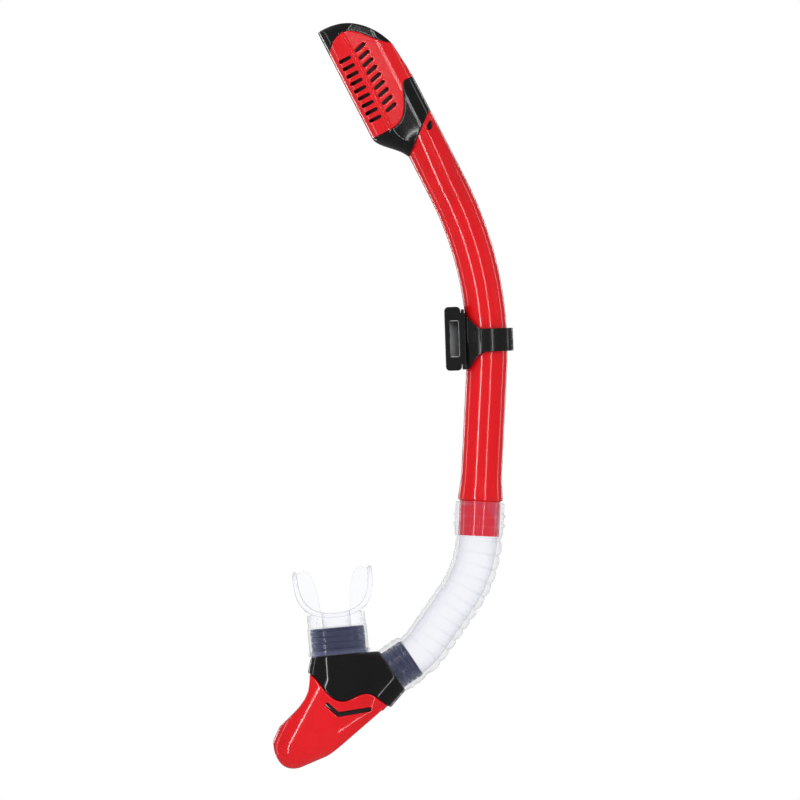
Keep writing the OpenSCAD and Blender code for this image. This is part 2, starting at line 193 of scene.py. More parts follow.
def prism(points, half, at=HERE):
    """An outline in the XZ plane, drawn out evenly to both sides."""
    o = drawn(points, -half)
    edit(o)
    bpy.ops.mesh.extrude_region_move(TRANSFORM_OT_translate={"value": (0, 2 * half, 0)})
    close(o)
    return settle(tidy(o), at)


def turned(profile, at=HERE, steps=96):
    """A closed profile of (radius, height) corners, spun once round Z."""
    o = drawn(profile)
    edit(o)
    bpy.ops.mesh.delete(type="ONLY_FACE")
    bpy.ops.mesh.select_all(action="SELECT")
    bpy.ops.mesh.spin(steps=steps, angle=2 * math.pi, center=(0, 0, 0), axis=(0, 0, 1))
    close(o)
    return settle(tidy(o), at)


def combine(a, b, how="DIFFERENCE"):
    mod = a.modifiers.new("combine", "BOOLEAN")
    mod.object = b
    mod.operation = how
    mod.solver = "EXACT"
    only(a)
    bpy.ops.object.modifier_apply(modifier=mod.name)
    bpy.data.objects.remove(b)
    return a


def fuse(*objs):
    whole = objs[0]
    for o in objs[1:]:
        combine(whole, o, "UNION")
    return whole


def wrap(*objs):
    """The convex skin round several forms."""
    only(*objs)
    bpy.ops.object.join()
    o = bpy.context.active_object
    edit(o)
    bpy.ops.mesh.convex_hull(delete_unused=True, use_existing_faces=False, join_triangles=False)
    return tidy(close(o))


def copy_of(o):
    twin = o.copy()
    twin.data = o.data.copy()
    bpy.context.scene.collection.objects.link(twin)
    return twin


def soften(o, size, rounds, share=1.0):
    """Fine even skin with its edges rounded, as moulded plastic has."""
    only(o)
    o.data.remesh_voxel_size = size
    bpy.ops.object.voxel_remesh()
    mod = o.modifiers.new("smooth", "SMOOTH")
    mod.factor = 0.5
    mod.iterations = rounds
    bpy.ops.object.modifier_apply(modifier=mod.name)
    if share < 1:
        mod = o.modifiers.new("thin", "DECIMATE")
        mod.ratio = share
        bpy.ops.object.modifier_apply(modifier=mod.name)
    return o


def frame_copy(name, size, rounds, share=1.0):
    """A copy of one of the frame's nodes, in millimetres, with its edges rounded."""
    o = copy_of(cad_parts[name])
    for key in list(o.keys()):
        del o[key]
    o.parent = None
    o.matrix_world = Matrix.Identity(4)
    o.hide_render = False
    settle(o, Matrix.Translation(-SHIFT) @ Matrix.Scale(1 / MM, 4))
    return soften(tidy(o, 0.002), size, rounds, share)


def rounded(o, width, degrees=35, segments=3):
    mod = o.modifiers.new("bevel", "BEVEL")
    mod.width = width
    mod.segments = segments
    mod.limit_method = "ANGLE"
    mod.angle_limit = math.radians(degrees)
    only(o)
    bpy.ops.object.modifier_apply(modifier=mod.name)
    return o


def finished(o, name, material, body, nodes=(), smooth=40):
    """Puts the piece in its place in metres, with its material, its body and the nodes it stands for."""
    o.name = name
    o.data.name = name
    settle(o, Matrix.Scale(MM, 4) @ Matrix.Translation(SHIFT))
    bpy.ops.object.shade_smooth_by_angle(angle=math.radians(smooth))
    o.data.materials.clear()
    o.data.materials.append(material)
    if body:
        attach(o, body)
    if nodes:
        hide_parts(*nodes)
    return o


def bezier(p, n=12):
    out = []
    for i in range(n):
        t = i / n
        k = ((1 - t) ** 3, 3 * t * (1 - t) ** 2, 3 * t * t * (1 - t), t ** 3)
        out.append(tuple(sum(w * q[j] for w, q in zip(k, p)) for j in (0, 1)))
    return out


# ------------------------------------------------------------------ materials
class Value:
    """A socket that adds Math nodes when it is used in an expression."""

    def __init__(self, tree, socket):
        self.tree = tree
        self.socket = socket

    def math(self, operation, other, swap=False):
        pair = (other, self) if swap else (self, other)
        return self.tree.node("ShaderNodeMath", {"operation": operation}, *pair)[0]

    def __add__(self, other):
        return self.math("ADD", other)

    def __radd__(self, other):
        return self.math("ADD", other, True)

    def __sub__(self, other):
        return self.math("SUBTRACT", other)

    def __rsub__(self, other):
        return self.math("SUBTRACT", other, True)

    def __mul__(self, other):
        return self.math("MULTIPLY", other)

    def __rmul__(self, other):
        return self.math("MULTIPLY", other, True)

    def __pow__(self, other):
        return self.math("POWER", other)


class Finish:
    """One material and its nodes."""

    def __init__(self, name):
        self.material = bpy.data.materials.new(name)
        self.material.use_nodes = True
        self.nodes = self.material.node_tree.nodes
        self.links = self.material.node_tree.links
        self.shader = self.nodes["Principled BSDF"]
        self.where = self.node("ShaderNodeTexCoord", {})[3]

    def node(self, kind, settings, *inputs, **named):
        n = self.nodes.new(kind)
        for key, value in settings.items():
            if key == "stops":
                ramp = n.color_ramp
                while len(ramp.elements) < len(value):
                    ramp.elements.new(0.5)
                for element, (place, colour) in zip(ramp.elements, value):
                    element.position = place
                    element.color = (*colour, 1)
            else:
                setattr(n, key, value)
        for index, value in list(enumerate(inputs)) + list(named.items()):
            if value is not None:
                self.feed(n.inputs[index.replace("_", " ") if isinstance(index, str) else index], value)
        return [Value(self, s) for s in n.outputs]

    def feed(self, socket, value):
        if isinstance(value, Value):
            self.links.new(value.socket, socket)
        else:
            socket.default_value = value

    def noise(self, scale, detail=3.0, roughness=0.5, stretch=(1, 1, 1)):
        where = self.node("ShaderNodeMapping", {}, self.where, Scale=stretch)[0]
        return self.node("ShaderNodeTexNoise", {}, Vector=where, Scale=scale, Detail=detail,
                         Roughness=roughness)[0]

    def ramp(self, value, *stops):
        return self.node("ShaderNodeValToRGB", {"stops": stops}, value)[0]

    def bump(self, height, strength, depth):
        return self.node("ShaderNodeBump", {}, Strength=strength, Distance=depth, Height=height)[0]

    def set(self, **values):
        for name, value in values.items():
            self.feed(self.shader.inputs[name.replace("_", " ")], value)
        return self.material


def shade(colour, k):
    return tuple(min(1.0, max(0.0, c * k)) for c in colour)


def gloss_plastic(name, colour, rough=0.16, ripple=0.12, coat=0.6):
    """Polished injection-moulded plastic: slight flow marks, faint orange peel and handling haze."""
    f = Finish(name)
    flow = f.noise(28, 3, 0.5, (1, 1, 0.25))
    haze = f.noise(160, 4, 0.6)
    specks = f.noise(900, 2, 0.5)
    base = f.ramp(flow, (0.3, shade(colour, 0.86)), (0.5, colour), (0.7, shade(colour, 1.08)))
    peel = f.noise(420, 2, 0.45)
    return f.set(Base_Color=base, Roughness=rough + (haze - 0.5) * 0.12 + (specks - 0.5) * 0.04,
                 Coat_Weight=coat, Coat_Roughness=0.06, Coat_IOR=1.5, IOR=1.5,
                 Normal=f.bump(peel, ripple, 0.00005))


def satin_plastic(name, colour, rough=0.38, grain=1400, lift=0.25):
    """Lightly textured plastic for hidden or handled parts."""
    f = Finish(name)
    patch = f.noise(45, 3, 0.55)
    texture = f.noise(grain, 2, 0.6)
    base = f.ramp(patch, (0.3, shade(colour, 0.85)), (0.55, colour), (0.75, shade(colour, 1.15)))
    return f.set(Base_Color=base, Roughness=rough + (patch - 0.5) * 0.15, IOR=1.5,
                 Normal=f.bump(texture, lift, 0.00005))


def silicone(name, scatter, tint, body, edge, rough=0.22):
    """Milky see-through silicone: clearer face on, whiter where the wall is seen edge on."""
    f = Finish(name)
    facing = f.node("ShaderNodeLayerWeight", {}, Blend=0.35)[1]
    cloud = f.noise(40, 2, 0.5)
    wave = f.noise(110, 2, 0.4)
    base = f.ramp(facing + (cloud - 0.5) * 0.1, (0.12, scatter), (0.5, shade(tint, 0.8)), (0.95, tint))
    return f.set(Base_Color=base, Roughness=rough + (wave - 0.5) * 0.12, IOR=1.42,
                 Alpha=body + (edge - body) * facing ** 1.5 + (cloud - 0.5) * 0.03,
                 Normal=f.bump(wave, 0.12, 0.0001))


def rubber(name, colour):
    f = Finish(name)
    dust = f.noise(300, 4, 0.6)
    base = f.ramp(dust, (0.35, colour), (0.7, shade(colour, 1.6)))
    return f.set(Base_Color=base, Roughness=0.6 + (dust - 0.5) * 0.2, IOR=1.45,
                 Normal=f.bump(dust, 0.3, 0.00005))


def drawn_steel(name):
    f = Finish(name)
    lines = f.noise(90, 2, 0.5, (1, 40, 1))
    base = f.ramp(lines, (0.3, (0.42, 0.43, 0.44)), (0.7, (0.62, 0.63, 0.64)))
    return f.set(Base_Color=base, Metallic=1.0, Roughness=0.24 + (lines - 0.5) * 0.15,
                 Normal=f.bump(lines, 0.1, 0.00003))


MATERIALS = {}


def material(key):
    """Makes each finish once."""
    if key not in MATERIALS:
        s = bpy.context.scene.snorkel_colours
        make = {
            "red": lambda: gloss_plastic("red_gloss_plastic", tuple(s.red)),
            "black": lambda: gloss_plastic("black_gloss_plastic", tuple(s.black), 0.13, 0.08, 0.25),
            "clip": lambda: gloss_plastic("black_clip_plastic", tuple(s.clip), 0.2, 0.12, 0.15),
            "navy": lambda: gloss_plastic("smoked_spigot_plastic", tuple(s.spigot), 0.3, 0.1, 0.2),
            "inner": lambda: satin_plastic("inner_black_plastic", (0.010, 0.010, 0.011), 0.5),
            "grey": lambda: satin_plastic("grey_spring_plastic", tuple(s.tongue), 0.45, 900, 0.1),
            "clear": lambda: silicone("clear_silicone", tuple(s.scatter), tuple(s.silicone), 0.042, 0.5),
            "milky": lambda: silicone("milky_silicone", shade(s.scatter, 1.35), tuple(s.silicone),
                                      0.036, 0.55, 0.3),
            "seat": lambda: rubber("seat_silicone", (0.55, 0.60, 0.63)),
            "seal": lambda: rubber("seal_rubber", (0.02, 0.02, 0.021)),
            "steel": lambda: drawn_steel("pin_steel"),
        }
        MATERIALS[key] = make[key]()
    return MATERIALS[key]


# ------------------------------------------------------------------ settings
def colour(label, note, default):
    return bpy.props.FloatVectorProperty(name=label, description=note, subtype="COLOR", size=3,
                                         min=0, max=1, default=default)


def length(label, note, default):
    return bpy.props.FloatProperty(name=label, description=note, default=default, min=0)


class SnorkelColours(bpy.types.PropertyGroup):
    """Colours of the finishes"""
    red: colour("Red", "Tube, grille and purge boot", (0.70, 0.006, 0.011))
    black: colour("Black", "Dry top and purge housing", (0.0055, 0.0055, 0.006))
    clip: colour("Clip", "Ring and strap loop", (0.008, 0.008, 0.0085))
    spigot: colour("Spigots", "Spigots seen through the cuffs", (0.008, 0.010, 0.030))
    tongue: colour("Tongue", "Spring tongue of the strap slot", (0.90, 0.91, 0.93))
    scatter: colour("Silicone body", "Faint blue that silicone shows over dark parts", (0.38, 0.42, 0.70))
    silicone: colour("Silicone", "Hose and mouthpiece", (0.60, 0.63, 0.68))


class SnorkelSizes(bpy.types.PropertyGroup):
    """Sizes, in millimetres, that change the looks without changing the frame"""
    slot_height: length("Slot height", "Height of a water slot", 2.1)
    rib_depth: length("Rib depth", "How far the hose ribs stand out on the outer side", 1.4)
    rib_pitch: length("Rib pitch", "Distance between hose ribs", 6.9)
    backdrop: colour("Backdrop", "Floor and backdrop", (0.93, 0.93, 0.93))


# ------------------------------------------------------------------ red tube
TUBE = 12.0
WALL = 1.8


# Heights above the end of the bend between which the tube's upper end is cut on the slant
SLANT_LOW = 26.2
SLANT_HIGH = 45.7
SLANT_MIDDLE = (SLANT_LOW + SLANT_HIGH) / 2
SLANT = math.degrees(math.atan((SLANT_HIGH - SLANT_LOW) / (2 * TUBE)))


def lug_place(side):
    """Where a snap lug sits in its window, from the end of the bend."""
    return shift(7.6, side * 9.6, 37.2) @ ACROSS @ Matrix.Rotation(math.radians(39), 4, "Z")


class MakeTube(bpy.types.Operator):
    """Bent tube with its flare, oblique end and lug windows"""
    bl_idname = "snorkel.tube"
    bl_label = "Tube"

    def execute(self, context):
        bpy.ops.object.select_all(action="DESELECT")
        bpy.ops.mesh.primitive_circle_add(vertices=128, radius=TUBE, location=(0, 0, -0.5))
        o = settle(bpy.context.active_object, HERE)
        edit(o)
        rings = ((20.0, 12), (20.3, 12.35), (20.6, 13), (21, 13.25), (21.6, 13.3), (23, 13.15),
                 (25.5, 12.85), (28.5, 12.5), (31.5, 12.2), (34.5, 12.03), (37, 12), (STRAIGHT, 12))
        z, r = -0.5, TUBE
        for height, radius in rings:
            bpy.ops.mesh.extrude_region_move(TRANSFORM_OT_translate={"value": (0, 0, height - z)})
            k = radius / r
            bpy.ops.transform.resize(value=(k, k, 1), center_override=(0, 0, 0))
            z, r = height, radius
        bpy.ops.mesh.spin(steps=40, angle=math.radians(30), center=(-BEND, 0, STRAIGHT), axis=(0, 1, 0))
        way = TOP.to_3x3() @ Vector((0, 0, 60))
        bpy.ops.mesh.extrude_region_move(TRANSFORM_OT_translate={"value": way})
        bpy.ops.mesh.select_all(action="SELECT")
        cut = TOP @ shift(0, 0, SLANT_MIDDLE) @ tilt(-SLANT)
        bpy.ops.mesh.bisect(plane_co=cut.translation, plane_no=cut.to_3x3() @ Vector((0, 0, 1)),
                            clear_outer=True, clear_inner=False)
        close(o)
        tidy(o)
        mod = o.modifiers.new("wall", "SOLIDIFY")
        mod.thickness = WALL
        mod.offset = -1
        mod.use_even_offset = True
        only(o)
        bpy.ops.object.modifier_apply(modifier=mod.name)
        for side in (-1, 1):
            combine(o, oval(3.0, 1.55, -3, 3, TOP @ lug_place(side)))
        rounded(o, 0.35, 40, 2)
        finished(o, "tube", material("red"), "tube", ["main_tube"], 35)
        return {"FINISHED"}


# ------------------------------------------------------------------ dry top
CREASE = -13.4
SLOTS = 9
SEAM = ([(-60, 140), (-60, 45.5), (CREASE - 2, 45.5)]
        + bezier(((CREASE, 45.5), (1.6, 45.5), (1.6, 67.7), (6.6, 67.7)), 24)
        + [(6.6, 67.7), (60, 67.7), (60, 140)])
ARCH = ([(-60, 160), (-60, 97), (-30, 97)]
        + bezier(((-26.4, 101.2), (-22, 107), (-17.5, 109.2), (-13.4, 109.2)), 12)
        + bezier(((-13.4, 109.2), (-4.4, 109.2), (1.6, 93.5), (11.5, 90)), 20)
        + [(11.5, 90), (60, 88), (60, 160)])


def section(grow, share, sides=144):
    """Corners of the housing's section: a circle at share 0, the full rounded box at share 1."""
    out = []
    for i in range(sides):
        t = 2 * math.pi * i / sides
        c, s = math.cos(t), math.sin(t)
        if c >= math.cos(math.radians(80)):
            full = ((TUBE - grow) * c, (TUBE - grow) * s)
        else:
            a = math.radians(80)
            turn = abs(math.atan2(s, c))
            k = (turn - a) / (math.pi - a)
            side = 1 if s >= 0 else -1
            flat = 0.42
            if k < flat:
                q = k / flat
                x0, y0 = (TUBE - grow) * math.cos(a), (TUBE - grow) * math.sin(a)
                full = (x0 + (CREASE - x0) * q, side * (y0 + (16.5 - grow - y0) * q))
            else:
                q = (k - flat) / (1 - flat)
                start = math.acos((CREASE + 9.4) / 17.0)
                u = start + (math.pi - start) * q
                full = (-9.4 + (17 - grow) * math.cos(u), side * (17 - grow) * math.sin(u))
        round_ = ((TUBE - grow) * c, (TUBE - grow) * s)
        out.append((round_[0] + (full[0] - round_[0]) * share, round_[1] + (full[1] - round_[1]) * share))
    return out


def loft(levels, at=HERE):
    """A form whose sections change with height: (z, grow, share) from the lowest up."""
    bpy.ops.object.select_all(action="DESELECT")
    bpy.ops.mesh.primitive_circle_add(vertices=144, radius=TUBE, fill_type="NGON")
    o = bpy.context.active_object
    for step, (z, grow, share) in enumerate(levels):
        if step:
            edit(o, lambda f, high=levels[step - 1][0]: abs(f.center.z - high) < 1e-3 and
                 abs(f.normal.z) > 0.9, "FACE")
            rise = z - levels[step - 1][0]
            bpy.ops.mesh.extrude_region_move(TRANSFORM_OT_translate={"value": (0, 0, rise)})
            close(o)
        corners = section(grow, share)
        if step:
            for v in [v for v in o.data.vertices if v.select]:
                i = min(range(len(last)), key=lambda i: math.dist(last[i], v.co[:2]))
                v.co = (*corners[i], z)
        else:
            for v, (x, y) in zip(o.data.vertices, corners):
                v.co = (x, y, z)
        last = corners
    return settle(tidy(o), at)


def swell(z):
    """How far the collar has grown from the round tube towards the full section."""
    t = min(1, max(0, (z - SLANT_LOW) / (SLANT_HIGH - SLANT_LOW)))
    return t * t * (3 - 2 * t) * 0.85 + 0.15 * t ** 0.5 if t > 0 else 0


def housing(inset):
    """The whole dry top above the tube, with its slanted crown."""
    rising = (27, 28, 29.5, 31, 33, 35, 37, 39, 41, 43, 44.5)
    body = loft([(20, inset, 0), (26, inset, 0)] + [(z, inset, swell(z)) for z in rising]
                + [(SLANT_HIGH, inset, 1), (125, inset, 1)])
    crown = ([(-27.4, 15), (12.1, 15), (12.05, 67.7)]
             + bezier(((9.8, 90.2), (5.5, 104), (-5, 113.5), (-15.4, 115.4)), 24)
             + bezier(((-15.4, 115.4), (-18.5, 116.1), (-22, 116.4), (-25, 116.1)), 10)
             + bezier(((-25, 116.1), (-26.6, 115.9), (-27, 115.2), (-26.9, 113.5)), 6) + [(-26.7, 100)])
    if inset:
        mid = Vector((-7, 60))
        crown = [(x + (inset if x < mid.x else -inset) * 0.9, z - inset if z > 88 else z) for x, z in crown]
    combine(body, prism(crown, 30), "INTERSECT")
    wide, high = 17.5 - inset, 116.3 - inset
    left = [(wide, 0)] + bezier(((wide, 103), (wide, 110), (wide - 5, high), (3, high)), 16)
    shoulders = left + [(-x, z) for x, z in reversed(left)]
    return combine(body, prism(shoulders, 60, Matrix.Rotation(math.radians(90), 4, "Z")), "INTERSECT")


class MakeDryTop(bpy.types.Operator):
    """Collar, slotted grille and cap of the dry top"""
    bl_idname = "snorkel.dry_top"
    bl_label = "Dry top"

    def execute(self, context):
        sizes = context.scene.snorkel_sizes
        shell = combine(housing(0), housing(1.7))
        low = copy_of(shell)
        mid = copy_of(shell)
        cap = shell
        # collar
        combine(low, block((-60, -60, -120), (60, 60, 0), shift(0, 0, SLANT_MIDDLE) @ tilt(-SLANT)))
        combine(low, prism(SEAM, 40))
        plug = turned([(8.2, 20), (10.1, 20), (10.1, 48), (8.2, 48)])
        low = fuse(low, plug)
        low = soften(low, 0.4, 10)
        for side in (-1, 1):
            lug = combine(oval(2.75, 1.3, -2.1, 2.1, lug_place(side)), drum(11.9, 20, 60), "INTERSECT")
            rounded(lug, 0.2, 40, 2)
            only(low, lug)
            bpy.ops.object.join()
        settle(low, TOP)
        finished(low, "collar", material("black"), "tube", ["top_collar"], 50)
        # grille
        for side in (-1, 1):
            fuse(mid, drum(0.65, 40, 118, shift(CREASE - 0.1, side * 16.25, 0), 24))
        combine(mid, prism(SEAM, 40), "INTERSECT")
        combine(mid, prism(ARCH, 41))
        h = sizes.slot_height
        for i in range(SLOTS):
            front = shift(-19.4, 0, 55.2 + i * 4.875) @ ACROSS
            combine(mid, oval(4.0, h / 2, -40, 40, front, 24))
            rear = shift(-8.15, 0, 56.9 + i * 4.975) @ tilt(-15) @ ACROSS
            combine(mid, oval(3.9, h / 2, -40, 40, rear, 24))
        for z in (77, 86.5):
            combine(mid, block((10.6, -3.5, z - 0.45), (14, 3.5, z + 0.45)))
        mid = soften(mid, 0.42, 4)
        settle(mid, TOP)
        finished(mid, "grille", material("red"), "tube", ["grille_cover"], 50)
        # cap
        combine(cap, prism(ARCH, 40), "INTERSECT")
        cap = soften(cap, 0.4, 10)
        settle(cap, TOP)
        finished(cap, "cap", material("black"), "tube", ["top_cap"], 50)
        return {"FINISHED"}


# ------------------------------------------------------------------ strap clip
class MakeClip(bpy.types.Operator):
    """Ring on the tube, strap loop and its spring tongue"""
    bl_idname = "snorkel.clip"
    bl_label = "Strap clip"

    def execute(self, context):
        ring = frame_copy("clip_ring", 0.32, 9)
        finished(ring, "ring_clip", material("clip"), "clip", ["clip_ring"], 50)
        loop = frame_copy("strap_frame", 0.32, 6)
        finished(loop, "strap_loop", material("clip"), "strap_loop", ["strap_frame"], 50)
        tongue = block((-0.5, 0.4, -10.55), (0.5, 8.5, 10.55))
        tongue = fuse(tongue, drum(1.1, -10.4, 10.4, HERE, 32))
        combine(tongue, drum(0.78, -14, 14, HERE, 24))
        rounded(tongue, 0.3, 40, 3)
        settle(tongue, CLIP @ shift(-22.04, 1.9, 1.3) @ Matrix.Rotation(math.radians(-38), 4, "Z"))
        finished(tongue, "spring_tongue", material("grey"), "tongue", ["strap_tongue"])
        return {"FINISHED"}


# ------------------------------------------------------------------ hose
ROUTE = (("arc", 70.0, 32.0), ("run", 31.7, 0.0), ("arc", 33.8, 21.13))


def route(s):
    """Point and direction on the hose's centre line, s along it from its upper end."""
    at = shift(0, 0, -1)
    for kind, size, degrees in ROUTE:
        span = size if kind == "run" else size * math.radians(degrees)
        step = min(s, span) if s > 0 else s
        if kind == "run":
            here = at @ shift(0, 0, -step)
        else:
            here = at @ shift(-size, 0, 0) @ tilt(math.degrees(step / size)) @ shift(size, 0, 0)
        if s <= span:
            return here
        at = here
        s -= span
    return at @ shift(0, 0, -s)


HOSE = sum(size if kind == "run" else size * math.radians(turn) for kind, size, turn in ROUTE)
# One rib of the hose: share of the pitch gone down, share of the full depth
RIB = ((0.0, 0.0), (0.05, 0.4), (0.13, 0.68), (0.25, 0.88), (0.4, 0.99), (0.55, 1.0), (0.7, 0.9),
       (0.82, 0.72), (0.92, 0.42))


def hose_profile(pitch, depth):
    """Closed wall profile of the hose, upper cuff first, as (radius, height) with the upper end at 0."""
    outer = [(12.1, 20.4), (12.6, 20.5), (14.0, 20.4), (14.35, 20.0), (14.4, 19.2), (14.4, 13.8),
             (14.75, 13.5), (15.2, 13.1), (15.35, 12.6), (15.2, 12.1), (14.75, 11.7), (14.4, 11.4),
             (14.4, 8.3), (14.75, 8.0), (15.15, 7.6), (15.3, 7.0), (15.15, 6.4), (14.75, 6.0),
             (14.3, 5.6), (14.2, 2.0), (13.8, 0.6), (13.3, -0.6)]
    count = int((HOSE - 5) / pitch)
    step = (HOSE - 4) / count
    for i in range(count):
        top = -2.0 - i * step
        for f, k in RIB:
            outer.append((12.9 + depth * k, top - f * step))
    end = -HOSE
    outer += [(13.2, end + 1.2), (14.2, end), (14.5, end - 1.0), (14.5, end - 3.6), (14.8, end - 3.9),
              (15.15, end - 4.5), (14.8, end - 5.1), (14.5, end - 5.4), (14.5, end - 8.6),
              (14.8, end - 8.9), (15.15, end - 9.5), (14.8, end - 10.1), (14.5, end - 10.4),
              (14.5, end - 13.2), (14.3, end - 13.8), (13.8, end - 14.0), (12.2, end - 14.0)]
    inner = [(12.06, end - 13.6), (12.06, end - 0.2), (11.2, end + 0.4)]
    for i in reversed(range(40)):
        inner.append((11.1, -1 - (HOSE - 2) * (i + 0.5) / 40))
    inner += [(11.1, -0.4), (11.2, -0.55), (12.06, -0.5), (12.06, 20.0)]
    return outer + inner


class MakeHose(bpy.types.Operator):
    """Corrugated silicone hose with its two ribbed cuffs"""
    bl_idname = "snorkel.hose"
    bl_label = "Hose"

    def execute(self, context):
        sizes = context.scene.snorkel_sizes
        o = turned(hose_profile(sizes.rib_pitch, sizes.rib_depth))
        for v in o.data.vertices:
            x, y, z = v.co
            r = math.hypot(x, y)
            s = -z
            if 0 < s < HOSE and r > 0:
                side = 0.5 + 0.5 * x / r
                base = 12.9 if r > 12.6 else 11.1
                keep = 0.3 + 0.7 * side ** 1.3
                k = (base + (r - base) * keep) / r
                x, y = x * k, y * k
            v.co = route(s) @ Vector((x, y, 0)) if s > 0 else Vector((x, y, z - 1))
        tidy(o)
        finished(o, "hose", material("clear"), None, ["flex_hose"], 60)
        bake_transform(o)
        return {"FINISHED"}


# ------------------------------------------------------------------ purge end
BOOT_SEAM = ([(-140, 0), (-140, -86)]
             + bezier(((-97, -86), (-90, -88), (-85, -101.8), (-76, -101.8)), 16)
             + bezier(((-76, -101.8), (-70, -101.8), (-67, -96.5), (-61, -96.5)), 12)
             + bezier(((-61, -96.5), (-56.5, -96.5), (-53, -101), (-47, -104)), 12)
             + [(-47, -104), (0, -120), (0, 0)])
BOOT = ([(-95.5, -70)]
        + bezier(((-95.5, -92), (-95.5, -104), (-105, -111), (-113.5, -120.5)), 16)
        + bezier(((-113.5, -120.5), (-118, -126), (-113.5, -143.5), (-103, -143.2)), 16)
        + bezier(((-103, -143.2), (-95, -142.8), (-84, -137), (-75, -128)), 12)
        + [(-75, -128), (-47, -101.2), (-47, -70)])


def core(inset):
    return wrap(oval(17 - inset, 11.5 - inset, -3, 0, MOUTH, 64), drum(14 - inset, -3, 0, SOCKET, 64),
                oval(24.4 - inset, 14.5 - inset, -8, 2, VALVE, 64))


def boot_form(inset):
    return wrap(oval(27.4 - inset, 14.5 - inset, -6, 8, VALVE, 64), ball(12.6 - inset, -103, 0, -130.5),
                ball(15.6 - inset, -80, 0, -116))


class MakePurge(bpy.types.Operator):
    """Black purge housing with its ribbed spigots, and the red boot below it"""
    bl_idname = "snorkel.purge"
    bl_label = "Purge housing"

    def execute(self, context):
        skin = combine(core(0), prism(BOOT_SEAM, 40), "INTERSECT")
        skirt = combine(core(2.2), block((-80, -80, -4), (80, 80, 80), VALVE), "INTERSECT")
        body = fuse(skin, skirt)
        body = fuse(body, oval(15.9, 10.4, -4, 2, MOUTH), drum(11.9, -4, 2, SOCKET))
        combine(body, combine(core(3.8), block((-80, -80, -2), (80, 80, 80), VALVE), "INTERSECT"))
        combine(body, oval(14.2, 8.7, -8, 30, MOUTH))
        combine(body, drum(9.8, -14, 46, SOCKET))
        combine(body, drum(10.2, -20, 10, VALVE))
        soften(body, 0.46, 18, 0.55)
        finished(body, "purge_housing_shell", material("black"), "lower", ["purge_housing"],
                 50)
        rings = [(9.8, -1.5), (11.9, -1.5)]
        for z in (1.2, 4.4, 7.6, 10.8):
            rings += [(11.95, z), (11.95, z + 2.0), (11.3, z + 2.4), (11.3, z + 2.9)]
        rings += [(11.9, 13.9), (11.4, 14), (9.8, 14)]
        spigot = turned(rings, SOCKET)
        finished(spigot, "hose_spigot", material("navy"), "lower", (), 40)
        rings = [(8.7, -1.5), (10.4, -1.5)]
        for z in (1.0, 4.6, 8.2, 11.8):
            rings += [(10.5, z), (10.5, z + 2.4), (9.95, z + 2.8), (9.95, z + 3.2)]
        rings += [(10.5, 15.6), (10.1, 16), (8.7, 16)]
        spigot = settle(stretch(turned(rings), 5.5), MOUTH)
        finished(spigot, "mouth_spigot", material("navy"), "lower", (), 40)

        boot = combine(combine(boot_form(0), prism(BOOT, 40), "INTERSECT"), prism(BOOT_SEAM, 41))
        hollow = [((x + 80) * 0.93 - 80, (z + 110) * 0.93 - 110) for x, z in BOOT]
        combine(boot, combine(boot_form(2.1), prism(hollow, 39), "INTERSECT"))
        combine(boot, core(2.1))
        for side in (-1, 1):
            combine(boot, prism([(-84.4, -102.5), (-77.3, -108.1), (-58.6, -104.2), (-58, -106.6),
                                 (-77.5, -110.9), (-85.9, -104.4)], 17, shift(0, 23 * side, 0)))
        soften(boot, 0.46, 18, 0.55)
        # A thin near-black sheet set just inside the boot behind the chevron vents: painted shade, so the
        # vent openings show dark
        shade_sheet = combine(boot_form(2.3), boot_form(3.3))
        combine(shade_sheet, prism([(-89.5, -100), (-77.3, -111), (-57, -108.5), (-57.5, -102), (-77.3, -104.5),
                              (-86, -98)], 40), "INTERSECT")
        finished(shade_sheet, "vent_painted_shade", material("inner"), "lower", (), 40)
        finished(boot, "boot", material("red"), "lower", ["purge_boot"], 50)
        return {"FINISHED"}


# ------------------------------------------------------------------ mouthpiece
class MakeMouthpiece(bpy.types.Operator):
    """Silicone mouthpiece with its cuff, lip flange and bite tabs"""
    bl_idname = "snorkel.mouthpiece"
    bl_label = "Mouthpiece"

    def execute(self, context):
        o = frame_copy("mouthpiece", 0.42, 14, 0.6)
        finished(o, "mouthpiece_body", material("milky"), "lower", ["mouthpiece"], 60)
        return {"FINISHED"}


# ------------------------------------------------------------------ inner parts
INNER = {
    "collar_seal": "seal", "valve_seat": "seat", "flap_pin": "steel", "flap_arm": "inner",
    "flap_seal": "seat", "float": "inner", "float_cage": "inner", "tongue_pin": "steel",
    "purge_valve_seat": "seat", "purge_diaphragm": "milky", "mouthpiece_band": "milky",
}


class FinishInnerParts(bpy.types.Operator):
    """Finishes for the frame's own inner parts"""
    bl_idname = "snorkel.inner_parts"
    bl_label = "Inner parts"

    def execute(self, context):
        for name, key in INNER.items():
            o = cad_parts[name]
            for slot in o.material_slots:
                slot.material = material(key)
        return {"FINISHED"}


# ------------------------------------------------------------------ stage
# Distances here are in metres, in the frame's own axes.
AIM = Vector((-0.03, 0, -0.04))
CAMERA_DISTANCE = 8.0
CAMERA_ROLL = 2.79
VIEW_WIDTH = 0.472
FLOOR_DROP = 0.075
STRIP_HEIGHT = 3.0
# Tall strips that show as highlights: name, place, width, power
STRIPS = (
    ("strip_left", (-0.93, -1.6, 0.1), 0.08, 14),
    ("strip_right", (0.72, -1.6, 0.1), 0.05, 7),
    ("strip_side", (2.3, 0.6, 0.1), 0.12, 4),
    ("strip_far_side", (-2.3, 0.5, 0.1), 0.12, 4),
    ("strip_back_left", (-1.2, 1.7, 0.1), 0.07, 8),
    ("strip_back_right", (1.0, 1.8, 0.1), 0.05, 5),
)
